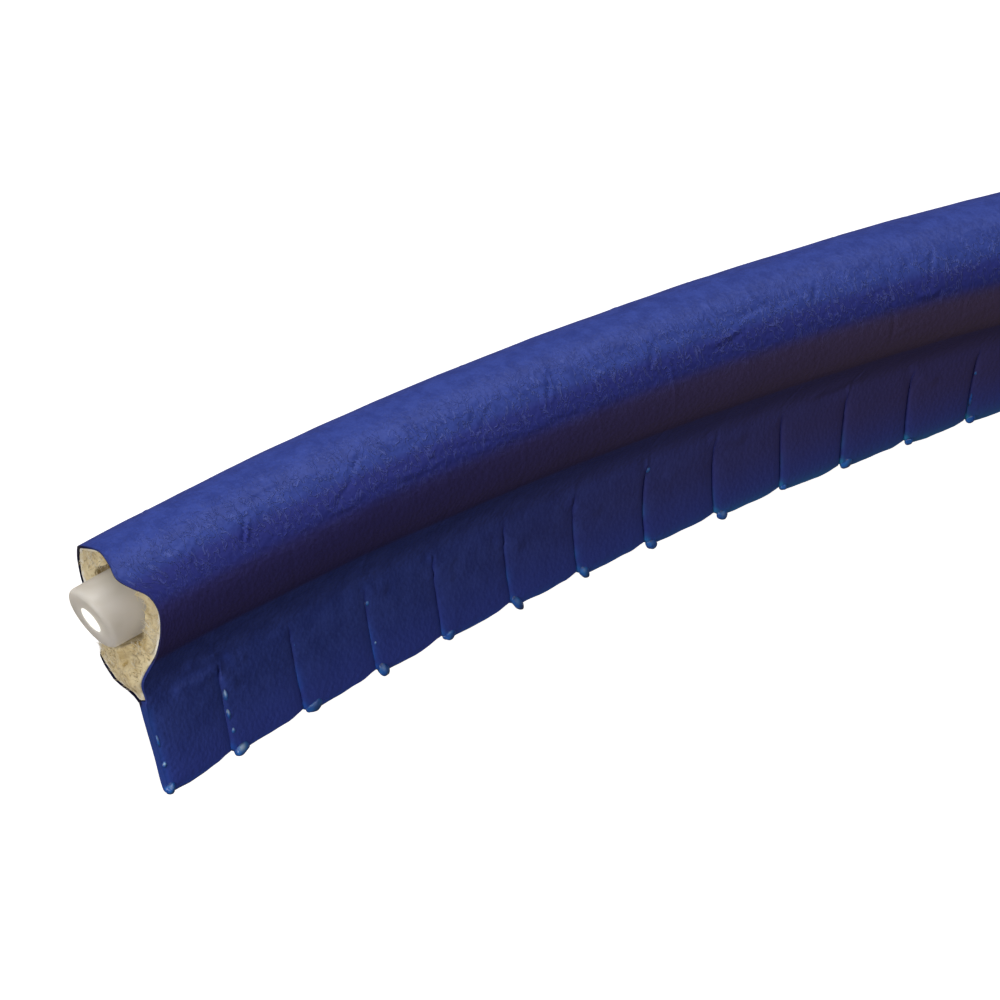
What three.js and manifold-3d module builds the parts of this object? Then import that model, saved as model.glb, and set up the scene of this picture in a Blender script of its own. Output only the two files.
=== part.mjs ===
// A cut length of piping trim, lying on a flat surface in a gentle curve.
// Leathercloth is wrapped round a hollow plastic tube and welded to itself as a slit flange.
// Millimetres, +Z up. The bead runs along X, and the flange reaches toward -Y.
import * as THREE from 'three';
import { mergeVertices } from 'three/addons/utils/BufferGeometryUtils.js';
import Module from 'manifold-3d';

const wasm = await Module();
wasm.setup();

// Driving dimensions of the length
const PITCH = 6.35; // one tab, from slit to slit
const TAB_COUNT = 16;
const LENGTH = PITCH * TAB_COUNT;
const STEPS = TAB_COUNT * 2;

// Driving dimensions of the section, from the bead's centre
const BEAD_RADIUS = 4.7;
const TUBE_RADIUS = 2.4;
const BORE_RADIUS = 1.0;
const PIECE_GAP = 0.3;
const SLIT_TOP = 7.0;
const TAB_START = 8.2; // past this line a tab is flat
const FLANGE_EDGE = 13.3;
const FLANGE_HALF = 0.55;

// Slits, and the way the tabs lie after they were cut
const SLIT_WIDTH_TOP = 0.3;
const SLIT_WIDTH_EDGE = 0.6;
const TAB_SLANT = 0.12; // a tab's near corner is this much longer, its far corner this much shorter
const TAB_LAP = 0.2; // a tab's near edge stands this much above its neighbour

// The lie: curvature along the bead, and the flange's droop below level
const CURVE_NEAR = 0.0043; // 1/mm
const CURVE_FAR = 0.0012;
const DROOP_NEAR = THREE.MathUtils.degToRad(-5);
const DROOP_FAR = THREE.MathUtils.degToRad(17.8);
const DROOP_LENGTH = 80; // the flange is level with the far end's from here on
const REST_SINK = 0.1; // the bead is flattened this much where it rests

// The near end: the tube stands out of the cover's mouth, and both are cut unevenly
const TUBE_START = -0.66;
const TUBE_SLANT = 0.15; // the tube's cut leans this much for each mm away from the flange
const CUT_DEPTH = 6; // an uneven cut is spread over this length
// around: degrees round the bead, 0 away from the flange, 90 on top. cutBack: mm.
const MOUTH = [
  { around: -180, cutBack: 0 },
  { around: -150, cutBack: 0 },
  { around: -140, cutBack: 0.1 },
  { around: -130, cutBack: 0.8 },
  { around: -110, cutBack: 1.35 },
  { around: -75, cutBack: 1.52 },
  { around: -35, cutBack: 1.4 },
  { around: -5, cutBack: 0.9 },
  { around: 18, cutBack: 1.2 },
  { around: 36, cutBack: 1.0 },
  { around: 54, cutBack: 0.8 },
  { around: 64, cutBack: 1.25 },
  { around: 76, cutBack: 2.0 },
  { around: 90, cutBack: 2.25 },
  { around: 108, cutBack: 2.0 },
  { around: 127, cutBack: 1.6 },
  { around: 148, cutBack: 1.2 },
  { around: 165, cutBack: 0.6 },
  { around: 180, cutBack: 0 },
];

// Each wrapped layer is an arc round the core that runs into a point or a plate at the flange's root.
// frontBend and backBend: the control points of the two curves from the arc to the tip.
const WRAP_HALF_ANGLE = 140; // degrees, where the arc ends on both sides
const COVER_OUTSIDE = {
  radius: BEAD_RADIUS,
  frontBend: [-5.67, FLANGE_HALF],
  backBend: [-5.5, -1.9],
  tip: [-SLIT_TOP, FLANGE_HALF],
  arcSteps: 32,
  curveSteps: 4,
};
const COVER_INSIDE = {
  radius: 4.1,
  frontBend: [-4.95, 0.3],
  backBend: [-4.85, -1.45],
  tip: [-6.3, -0.08],
  arcSteps: 20,
  curveSteps: 3,
};
const BACKING_OUTSIDE = {
  radius: 3.8,
  frontBend: [-4.35, 0.2],
  backBend: [-4.3, -1.35],
  tip: [-5.6, -0.1],
  arcSteps: 20,
  curveSteps: 3,
};
const BACKING_BORE_STEPS = 18;
const POCKET_DEPTH = 0.35; // the backing stands off the tube at the crown
const POCKET_AROUND = THREE.MathUtils.degToRad(15);
const TUBE_OUTER_STEPS = 20;
const TUBE_BORE_STEPS = 12;

// The lie of the centre line
function headingSum(s) {
  return CURVE_NEAR * s + (CURVE_FAR - CURVE_NEAR) * s * s / (2 * LENGTH);
}

function heading(s) {
  return headingSum(LENGTH / 2) - headingSum(s);
}

function centreAt(s) {
  const count = 40;
  const step = (s - LENGTH / 2) / count;
  let x = 0;
  let y = 0;
  for (let i = 0; i < count; i += 1) {
    const angle = heading(LENGTH / 2 + (i + 0.5) * step);
    x += Math.cos(angle) * step;
    y += Math.sin(angle) * step;
  }
  return new THREE.Vector3(x, y, BEAD_RADIUS - REST_SINK);
}

function droop(s) {
  const share = THREE.MathUtils.clamp(s / DROOP_LENGTH, 0, 1);
  return DROOP_NEAR + (DROOP_FAR - DROOP_NEAR) * share;
}

// The section's frame: along the bead, away from the flange, and up through the flange's face
function frameAt(s) {
  const turn = heading(s);
  const along = new THREE.Vector3(Math.cos(turn), Math.sin(turn), 0);
  const level = new THREE.Vector3(-Math.sin(turn), Math.cos(turn), 0);
  const away = level.clone().applyAxisAngle(along, droop(s));
  const face = new THREE.Vector3().crossVectors(along, away);
  return { centre: centreAt(s), along, away, face };
}

function placeOnBead(u, n, s) {
  const { centre, away, face } = frameAt(s);
  return centre.addScaledVector(away, u).addScaledVector(face, n);
}

// A tab is flat, and turned a little so that its near edge stands above its neighbour's far edge
function placeOnTab(u, n, s) {
  const tab = THREE.MathUtils.clamp(Math.floor(s / PITCH), 0, TAB_COUNT - 1);
  const middle = (tab + 0.5) * PITCH;
  const { centre, along, away, face } = frameAt(middle);
  const twist = (droop(middle + PITCH / 2) - droop(middle - PITCH / 2)) / PITCH;
  const turn = Math.atan(twist * FLANGE_EDGE + TAB_LAP / PITCH);
  along.applyAxisAngle(away, turn);
  face.applyAxisAngle(away, turn);
  return centre.addScaledVector(along, s - middle).addScaledVector(away, u).addScaledVector(face, n);
}

// The uneven cuts at the near end
const mouthCurve = new THREE.CubicInterpolant(
  MOUTH.map((row) => row.around),
  MOUTH.map((row) => row.cutBack),
  1,
);

function mouthCut(u, n) {
  const around = THREE.MathUtils.radToDeg(Math.atan2(n, u));
  return u < -SLIT_TOP + 0.1 ? 0 : mouthCurve.evaluate(around)[0];
}

function tubeCut(u) {
  return -TUBE_SLANT * u;
}

// A straight solid holds u in x, n in y and s in z. Bending it lays every point in its place.
function bend(geometry, endCut) {
  const position = geometry.attributes.position;
  for (let i = 0; i < position.count; i += 1) {
    let u = position.getX(i);
    const n = position.getY(i);
    let s = position.getZ(i);
    if (s < CUT_DEPTH) {
      s += endCut(u, n) * (1 - s / CUT_DEPTH);
    }
    if (u < -FLANGE_EDGE + 0.01) {
      const across = s / PITCH - Math.min(Math.floor(s / PITCH), TAB_COUNT - 1);
      u += TAB_SLANT * (2 * across - 1);
    }
    const point = u < -TAB_START + 0.01 ? placeOnTab(u, n, s) : placeOnBead(u, n, s);
    position.setXYZ(i, point.x, point.y, Math.max(point.z, 0));
  }
  return geometry;
}

// Outlines of the section
function arcPoints(radius, from, to, steps) {
  const points = [];
  for (let i = 0; i <= steps; i += 1) {
    const angle = THREE.MathUtils.degToRad(from + (to - from) * i / steps);
    points.push(new THREE.Vector2(radius * Math.cos(angle), radius * Math.sin(angle)));
  }
  return points;
}

function curvePoints(start, bendPoint, end, steps) {
  const curve = new THREE.QuadraticBezierCurve(start, new THREE.Vector2(...bendPoint), end);
  return curve.getPoints(steps);
}

// The arc and its two curves, from the back of the tip round to the front of the tip
function wrapPoints(layer, backTip, frontTip) {
  const arc = arcPoints(layer.radius, -WRAP_HALF_ANGLE, WRAP_HALF_ANGLE, layer.arcSteps);
  const back = curvePoints(backTip, layer.backBend, arc[0], layer.curveSteps);
  const front = curvePoints(arc[arc.length - 1], layer.frontBend, frontTip, layer.curveSteps);
  return [...back, ...arc.slice(1, -1), ...front];
}

function closedWrap(layer) {
  const tip = new THREE.Vector2(...layer.tip);
  return wrapPoints(layer, tip, tip).slice(0, -1);
}

function circlePoints(radius, steps) {
  return arcPoints(radius, 0, 360, steps).slice(0, -1);
}

function coverOutline() {
  const [tipU, tipN] = COVER_OUTSIDE.tip;
  const wrap = wrapPoints(COVER_OUTSIDE, new THREE.Vector2(tipU, -tipN), new THREE.Vector2(tipU, tipN));
  return [
    new THREE.Vector2(-FLANGE_EDGE, -FLANGE_HALF),
    new THREE.Vector2(-TAB_START, -FLANGE_HALF),
    ...wrap,
    new THREE.Vector2(-TAB_START, FLANGE_HALF),
    new THREE.Vector2(-FLANGE_EDGE, FLANGE_HALF),
  ];
}

function backingBore() {
  return circlePoints(1, BACKING_BORE_STEPS).map((point) => {
    const pocket = POCKET_DEPTH * Math.max(0, Math.cos(point.angle() - POCKET_AROUND)) ** 4;
    return point.multiplyScalar(TUBE_RADIUS + PIECE_GAP + pocket);
  });
}

function straightSolid(outline, hole, start) {
  const shape = new THREE.Shape(outline);
  shape.holes.push(new THREE.Path(hole));
  const geometry = new THREE.ExtrudeGeometry(shape, {
    depth: LENGTH - start,
    steps: STEPS,
    bevelEnabled: false,
  });
  return geometry.translate(0, 0, start);
}

// Slits are cut in the straight cover
function toManifold(geometry) {
  geometry.deleteAttribute('normal');
  geometry.deleteAttribute('uv');
  const merged = mergeVertices(geometry, 1e-4);
  return new wasm.Manifold(new wasm.Mesh({
    numProp: 3,
    vertProperties: new Float32Array(merged.attributes.position.array),
    triVerts: new Uint32Array(merged.index.array),
  }));
}

function fromManifold(solid) {
  const mesh = solid.getMesh();
  const geometry = new THREE.BufferGeometry();
  geometry.setAttribute('position', new THREE.BufferAttribute(new Float32Array(mesh.vertProperties), 3));
  geometry.setIndex(new THREE.BufferAttribute(new Uint32Array(mesh.triVerts), 1));
  return geometry;
}

function slitCutter() {
  const past = 1; // the cutter reaches this far past the edge and both faces
  const shape = new THREE.Shape([
    new THREE.Vector2(-SLIT_TOP, -SLIT_WIDTH_TOP / 2),
    new THREE.Vector2(-SLIT_TOP, SLIT_WIDTH_TOP / 2),
    new THREE.Vector2(-FLANGE_EDGE - past, SLIT_WIDTH_EDGE / 2),
    new THREE.Vector2(-FLANGE_EDGE - past, -SLIT_WIDTH_EDGE / 2),
  ]);
  const geometry = new THREE.ExtrudeGeometry(shape, {
    depth: 2 * (FLANGE_HALF + past),
    bevelEnabled: false,
  });
  return geometry.translate(0, 0, -FLANGE_HALF - past).rotateX(Math.PI / 2);
}

function cutSlits(geometry) {
  let solid = toManifold(geometry);
  for (let slit = 1; slit < TAB_COUNT; slit += 1) {
    solid = solid.subtract(toManifold(slitCutter().translate(0, 0, slit * PITCH)));
  }
  return fromManifold(solid);
}

function piece(name, geometry, color, roughness) {
  geometry.computeVertexNormals();
  const mesh = new THREE.Mesh(geometry, new THREE.MeshStandardMaterial({ color, roughness, metalness: 0 }));
  mesh.name = name;
  return mesh;
}

// The leathercloth cover with its flange
function coverSkin() {
  const straight = straightSolid(coverOutline(), closedWrap(COVER_INSIDE), 0);
  return piece('cover_skin', bend(cutSlits(straight), mouthCut), '#2a3580', 0.5);
}

// The knitted backing inside the cover
function knitBacking() {
  const straight = straightSolid(closedWrap(BACKING_OUTSIDE), backingBore(), 0);
  return piece('knit_backing', bend(straight, mouthCut), '#d6cba8', 0.95);
}

// The hollow tube that fills the bead
function coreTube() {
  const outline = circlePoints(TUBE_RADIUS, TUBE_OUTER_STEPS);
  const straight = straightSolid(outline, circlePoints(BORE_RADIUS, TUBE_BORE_STEPS), TUBE_START);
  return piece('core_tube', bend(straight, tubeCut), '#b9b3aa', 0.4);
}

const trim = new THREE.Group();
trim.name = 'piping_trim';
trim.add(coverSkin(), knitBacking(), coreTube());

// The origin is under the middle of the trim's box
const box = new THREE.Box3().setFromObject(trim);
const middle = box.getCenter(new THREE.Vector3());
trim.children.forEach((mesh) => mesh.position.set(-middle.x, -middle.y, 0));

export default trim;
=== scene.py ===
"""A cut length of piping trim: leathercloth round a hollow tube, welded to itself as a slit flange.

Each piece is made straight, in millimetres: u away from the flange, n up through its face and
s along the bead. Then it is bent into the gentle curve in which the length lies.
"""
import math
import random

import bmesh
import bpy
import numpy as np
from mathutils import Matrix, Vector, noise


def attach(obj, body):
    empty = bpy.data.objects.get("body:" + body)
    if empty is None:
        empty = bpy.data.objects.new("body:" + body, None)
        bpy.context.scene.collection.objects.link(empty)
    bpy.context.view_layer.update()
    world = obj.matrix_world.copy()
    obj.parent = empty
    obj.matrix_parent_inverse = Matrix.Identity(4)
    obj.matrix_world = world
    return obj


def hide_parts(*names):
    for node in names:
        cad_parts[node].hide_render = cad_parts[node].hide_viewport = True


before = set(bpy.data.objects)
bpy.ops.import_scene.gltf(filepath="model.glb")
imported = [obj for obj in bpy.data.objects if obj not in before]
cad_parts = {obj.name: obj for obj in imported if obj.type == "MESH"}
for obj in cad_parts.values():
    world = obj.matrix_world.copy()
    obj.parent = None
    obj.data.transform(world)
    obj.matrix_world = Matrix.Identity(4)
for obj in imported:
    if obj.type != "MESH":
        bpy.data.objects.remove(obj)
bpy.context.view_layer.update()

MM = 0.001
CLOSE = 0.001  # mm: a point this close to a line counts as on it

# The length, its section and its tabs
PITCH = 6.35
TAB_COUNT = 16
LENGTH = PITCH * TAB_COUNT
BEAD_RADIUS = 4.7
SLIT_TOP = 7.0
TAB_START = 8.2
FLANGE_EDGE = 13.3
FLANGE_HALF = 0.55
SLIT_HALF_TOP = 0.012
SLIT_HALF_EDGE = 0.05
TAB_SLANT = 0.12
TAB_LAP = 0.08
VINYL = 0.16
TUBE_RADIUS = 2.4
BORE_RADIUS = 0.95
TUBE_START = -0.66
TUBE_SLANT = 0.15

# The lie: curvature along the bead, and the flange's droop below level
CURVE_NEAR = 0.0043
CURVE_FAR = 0.0012
DROOP_NEAR = math.radians(-5)
DROOP_FAR = math.radians(17.8)
DROOP_LENGTH = 80
BEAD_MIDDLE = np.array((0.43437, 6.35474, 4.6))

# The uneven cut at the near end. Around: degrees round the bead, 0 away from the flange, 90 on top.
CUT_DEPTH = 6
MOUTH = [
    {"around": -180, "cut_back": 0},
    {"around": -150, "cut_back": 0},
    {"around": -140, "cut_back": 0.1},
    {"around": -130, "cut_back": 0.8},
    {"around": -110, "cut_back": 1.35},
    {"around": -75, "cut_back": 1.52},
    {"around": -35, "cut_back": 1.4},
    {"around": -5, "cut_back": 0.9},
    {"around": 18, "cut_back": 1.2},
    {"around": 36, "cut_back": 1.0},
    {"around": 54, "cut_back": 0.8},
    {"around": 64, "cut_back": 1.25},
    {"around": 76, "cut_back": 2.0},
    {"around": 90, "cut_back": 2.25},
    {"around": 108, "cut_back": 2.0},
    {"around": 127, "cut_back": 1.6},
    {"around": 148, "cut_back": 1.2},
    {"around": 165, "cut_back": 0.6},
    {"around": 180, "cut_back": 0},
]


# How far each slit leans along the bead, below 0 towards the near end: at its top, half way down and
# at the flange's edge. The first and last rows are the two ends of the length.
SLIT_LEAN = np.array([
    (0.45, 0.1, -0.3),
    (0.15, -0.45, -1.05),
    (-0.05, -0.5, -0.85),
    (0.1, -0.3, -0.55),
    (-0.25, -0.65, -0.9),
    (-0.35, -0.75, -0.8),
    (-0.35, -0.9, -0.95),
    (-0.15, -0.85, -0.9),
    (-0.2, -0.7, -0.6),
    (-0.5, -0.6, -0.7),
    (-0.6, -1.0, -1.15),
    (-0.7, -1.1, -1.05),
    (-0.7, -1.15, -1.3),
    (-0.6, -0.9, -1.0),
    (-0.5, -0.8, -0.95),
    (-0.4, -0.6, -0.8),
    (-0.2, -0.3, -0.3),
])


# The lie of the length
def heading_sum(s):
    return CURVE_NEAR * s + (CURVE_FAR - CURVE_NEAR) * s * s / (2 * LENGTH)


def heading(s):
    return heading_sum(LENGTH / 2) - heading_sum(s)


def droop(s):
    return DROOP_NEAR + (DROOP_FAR - DROOP_NEAR) * np.clip(s / DROOP_LENGTH, 0, 1)


def centre_line():
    """Places along the bead's centre line, with their x and y from its middle."""
    s = np.linspace(-3, LENGTH + 3, 2001)
    turn = heading((s[1:] + s[:-1]) / 2)
    step = s[1] - s[0]
    x = np.append(0, np.cumsum(np.cos(turn) * step))
    y = np.append(0, np.cumsum(np.sin(turn) * step))
    return s, x - np.interp(LENGTH / 2, s, x), y - np.interp(LENGTH / 2, s, y)


LINE_S, LINE_X, LINE_Y = centre_line()


def frame_at(s):
    """The section's centre, and its directions along the bead, away from the flange and up."""
    turn = heading(s)
    fall = droop(s)[:, None]
    flat = np.zeros_like(s)
    along = np.stack((np.cos(turn), np.sin(turn), flat), 1)
    level = np.stack((-np.sin(turn), np.cos(turn), flat), 1)
    up = np.array((0, 0, 1))
    centre = np.stack((np.interp(s, LINE_S, LINE_X), np.interp(s, LINE_S, LINE_Y), flat), 1)
    away = level * np.cos(fall) + up * np.sin(fall)
    face = up * np.cos(fall) - level * np.sin(fall)
    return centre + BEAD_MIDDLE, along, away, face


def tab_at(s):
    return np.clip(np.floor(s / PITCH), 0, TAB_COUNT - 1)


def ease(share):
    share = np.clip(share, 0, 1)
    return share * share * (3 - 2 * share)


def hump(value, middle, spread):
    """1 at the middle, falling smoothly to almost 0 two spreads away."""
    return np.exp(-((value - middle) / spread) ** 2)


def slit_lean(s, down):
    """How far a point moves along the bead with the slits beside it. Down: 0 at their tops, 1 at the edge."""
    slits = np.arange(TAB_COUNT + 1)
    top, middle, edge = (np.interp(s / PITCH, slits, column) for column in SLIT_LEAN.T)
    return top + (4 * middle - 3 * top - edge) * down + 2 * (top - 2 * middle + edge) * down * down


def bent(points, tab=None):
    """Lays straight points in their places, in metres. A tab is flat and laps over its neighbour."""
    u, n, s = np.asarray(points, float).T
    down = (-SLIT_TOP - u) / (FLANGE_EDGE - SLIT_TOP)
    s = s + slit_lean(s, np.clip(down, 0, 1.1)) * ease((-5 - u) / 1.6)
    centre, along, away, face = frame_at(s)
    on_bead = centre + away * u[:, None] + face * n[:, None]
    middle = ((tab_at(s) if tab is None else tab + 0 * s) + 0.5) * PITCH
    centre, along, away, face = frame_at(middle)
    twist = (droop(middle + PITCH / 2) - droop(middle - PITCH / 2)) / PITCH
    turn = np.arctan(twist * np.clip(-u, SLIT_TOP, FLANGE_EDGE) + TAB_LAP / PITCH)[:, None]
    tab_along = along * np.cos(turn) - face * np.sin(turn)
    tab_face = face * np.cos(turn) + along * np.sin(turn)
    on_tab = centre + tab_along * (s - middle)[:, None] + away * u[:, None] + tab_face * n[:, None]
    share = ease((-SLIT_TOP - u) / (TAB_START - SLIT_TOP))[:, None]
    places = on_bead * (1 - share) + on_tab * share
    places[:, 2] = np.maximum(places[:, 2], 0)
    return places * MM


# The uneven cut of the mouth
def smooth_curve(rows, x):
    """A smooth curve through the rows, read at x."""
    places, heights = np.array([tuple(row.values()) for row in rows], float).T
    slopes = np.gradient(heights, places)
    i = np.clip(np.searchsorted(places, x) - 1, 0, len(places) - 2)
    gap = places[i + 1] - places[i]
    t = (x - places[i]) / gap
    rise = heights[i + 1] - heights[i]
    return (
        heights[i] + rise * t * t * (3 - 2 * t)
        + gap * slopes[i] * t * (1 - t) ** 2 - gap * slopes[i + 1] * t * t * (1 - t)
    )


def around_of(u, n):
    return np.degrees(np.arctan2(n, u))


def mouth_cut(u, n):
    return np.where(u < -SLIT_TOP + 0.1, 0, smooth_curve(MOUTH, around_of(u, n)))


def cut_near_end(points, cut):
    """Pulls the near end back by the cut, less and less along the first few millimetres."""
    s = points[:, 2]
    points[:, 2] = s + np.where(s < CUT_DEPTH, cut * (1 - s / CUT_DEPTH), 0)


# Outlines of the section, as lists of (u, n)
def arc_points(radius, degrees):
    angles = np.radians(degrees)
    return np.stack((radius * np.cos(angles), radius * np.sin(angles)), 1)


def curve_points(start, bend, end, steps):
    t = np.linspace(0, 1, steps + 1)[:, None]
    start, bend, end = (np.array(point, float) for point in (start, bend, end))
    return start * (1 - t) ** 2 + bend * 2 * t * (1 - t) + end * t * t


# The wrap's arc ends at this angle on both sides. Its points lie closer together from SEEN_FROM on.
WRAP_HALF_ANGLE = 140
SEEN_FROM = -20
SEEN_COLUMNS = 65
UNSEEN_COLUMNS = 21
WRAP_DEGREES = np.append(
    np.linspace(-WRAP_HALF_ANGLE, SEEN_FROM, UNSEEN_COLUMNS)[:-1],
    np.linspace(SEEN_FROM, WRAP_HALF_ANGLE, SEEN_COLUMNS),
)
FRONT_STEPS = 12
BACK_STEPS = 7
ROOT_STEPS = 4


def wrap_outline(radius, front_bend, back_bend, tip):
    """Round the core from the back of the root to its front, and down the root's edge."""
    tip_u, tip_n = tip
    arc = arc_points(radius, WRAP_DEGREES)
    back = curve_points((tip_u, -tip_n), back_bend, arc[0], BACK_STEPS)
    front = curve_points(arc[-1], front_bend, (tip_u, tip_n), FRONT_STEPS)
    root = curve_points((tip_u, tip_n), (tip_u, 0), (tip_u, -tip_n), ROOT_STEPS)
    return np.concatenate((back[:-1], arc[:-1], front[:-1], root[:-1]))


COVER_OUTSIDE = wrap_outline(BEAD_RADIUS, (-5.67, FLANGE_HALF), (-5.5, -1.9), (-SLIT_TOP, FLANGE_HALF))
COVER_INSIDE = wrap_outline(BEAD_RADIUS - VINYL, (-5.5, 0.42), (-5.35, -1.65), (-6.8, 0.38))


# Meshes
def ring(outline, s):
    return np.column_stack((outline, np.full(len(outline), s)))


def ring_surface(rings):
    """A closed surface through rings of points, with the last ring joined to the first."""
    rows = len(rings)
    columns = len(rings[0])
    bm = bmesh.new()
    made = bmesh.ops.create_grid(bm, x_segments=columns, y_segments=rows, size=1)
    for i, vert in enumerate(made["verts"]):
        row, column = divmod(i, columns + 1)
        vert.co = rings[row % rows][column % columns]
    seam = [vert for vert in bm.verts if vert.is_boundary]
    bmesh.ops.remove_doubles(bm, verts=seam, dist=1e-5)
    bmesh.ops.recalc_face_normals(bm, faces=bm.faces)
    return bm


def tab_levels(steps):
    """Levels along the bead, with one at each slit's edges."""
    levels = []
    for tab in range(TAB_COUNT):
        start = tab * PITCH + (SLIT_HALF_TOP if tab > 0 else 0)
        end = (tab + 1) * PITCH - (SLIT_HALF_TOP if tab < TAB_COUNT - 1 else 0)
        levels.extend(np.linspace(start, end, steps + 1))
    return levels


def mesh_points(mesh):
    points = np.empty(len(mesh.vertices) * 3)
    mesh.vertices.foreach_get("co", points)
    return points.reshape(-1, 3)


def mesh_normals(mesh):
    normals = np.empty(len(mesh.vertices) * 3)
    mesh.vertex_normals.foreach_get("vector", normals)
    return normals.reshape(-1, 3)


def keep_values(mesh, name, values):
    """Keeps three numbers at each point, for the materials."""
    attribute = mesh.attributes.new(name, "FLOAT_VECTOR", "POINT")
    attribute.data.foreach_set("vector", np.asarray(values, np.float32).ravel())


def finish_piece(name, bm, shape, material, sharp=40):
    """Makes the piece's object from a straight mesh. Shape moves the points and lays them in place."""
    mesh = bpy.data.meshes.new(name)
    bm.to_mesh(mesh)
    bm.free()
    points = mesh_points(mesh)
    keep_values(mesh, "straight", points)
    mesh.vertices.foreach_set("co", shape(mesh, points).ravel())
    mesh.update()
    mesh.shade_smooth()
    mesh.set_sharp_from_angle(angle=math.radians(sharp))
    mesh.materials.append(material)
    piece = bpy.data.objects.new(name, mesh)
    bpy.context.scene.collection.objects.link(piece)
    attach(piece, "root")
    return piece


def noise_values(points, scale, seed):
    """Soft noise from -1 to 1 at each point. Scale: how many waves in a millimetre, three numbers."""
    shift = Vector((seed * 7.3, seed * 3.1, seed * 5.7))
    scale = Vector(scale)
    return np.array([noise.noise(Vector(point) * scale + shift) for point in points])


# Materials
class Wire:
    """A socket of a material. Operators on it add Math nodes."""

    def __init__(self, tree, socket=None):
        self.tree = tree
        self.socket = socket

    def node(self, kind, settings=None, inputs=None, output=0):
        made = self.tree.nodes.new(kind)
        for name, value in (settings or {}).items():
            setattr(made, name, value)
        for name, value in (inputs or {}).items():
            if isinstance(value, Wire):
                self.tree.links.new(value.socket, made.inputs[name])
            else:
                made.inputs[name].default_value = value
        return Wire(self.tree, made.outputs[output])

    def maths(self, operation, first, second):
        return self.node("ShaderNodeMath", {"operation": operation}, {0: first, 1: second})

    def __add__(self, other):
        return self.maths("ADD", self, other)

    def __sub__(self, other):
        return self.maths("SUBTRACT", self, other)

    def __rsub__(self, other):
        return self.maths("SUBTRACT", other, self)

    def __mul__(self, other):
        return self.maths("MULTIPLY", self, other)

    def __abs__(self):
        return self.maths("ABSOLUTE", self, 0)

    __radd__ = __add__
    __rmul__ = __mul__

    def ramp(self, low, high):
        """0 below low, 1 above high and smooth between them."""
        inputs = {"Value": self, "From Min": low, "From Max": high}
        return self.node("ShaderNodeMapRange", {"interpolation_type": "SMOOTHSTEP"}, inputs)

    def mix(self, first, second):
        """A colour: the first where this is 0, the second where it is 1."""
        inputs = {0: self, 6: first, 7: second}
        return self.node("ShaderNodeMix", {"data_type": "RGBA"}, inputs, output=2)

    def scaled(self, u, n, s):
        inputs = {0: self, 1: (u, n, s)}
        return self.node("ShaderNodeVectorMath", {"operation": "MULTIPLY"}, inputs)

    def noise(self, scale, detail, distortion=0):
        inputs = {"Vector": self, "Scale": scale, "Detail": detail, "Distortion": distortion}
        return self.node("ShaderNodeTexNoise", {}, inputs)

    def parts(self):
        node = self.tree.nodes.new("ShaderNodeSeparateXYZ")
        self.tree.links.new(self.socket, node.inputs[0])
        return [Wire(self.tree, socket) for socket in node.outputs]

    def bump(self, height_mm):
        inputs = {"Height": height_mm, "Distance": MM, "Strength": 1}
        return self.node("ShaderNodeBump", {}, inputs)


def linear(red, green, blue):
    """A colour as the eye reads it on a screen, 0 to 255, turned into the shader's own numbers."""
    values = [channel / 255 for channel in (red, green, blue)]
    return tuple(v / 12.92 if v <= 0.04045 else ((v + 0.055) / 1.055) ** 2.4 for v in values)


def rgba(red, green, blue):
    return (*linear(red, green, blue), 1)


def new_material(name, constants):
    """A material with its shader's plain values set. Returns it, a wire and the shader."""
    material = bpy.data.materials.new(name)
    material.use_nodes = True
    shader = material.node_tree.nodes["Principled BSDF"]
    for socket, value in constants.items():
        shader.inputs[socket].default_value = value
    return material, Wire(material.node_tree), shader


def feed(shader, socket, wire):
    wire.tree.links.new(wire.socket, shader.inputs[socket])


def kept(wire, name):
    return wire.node("ShaderNodeAttribute", {"attribute_name": name}, output="Vector")


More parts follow.
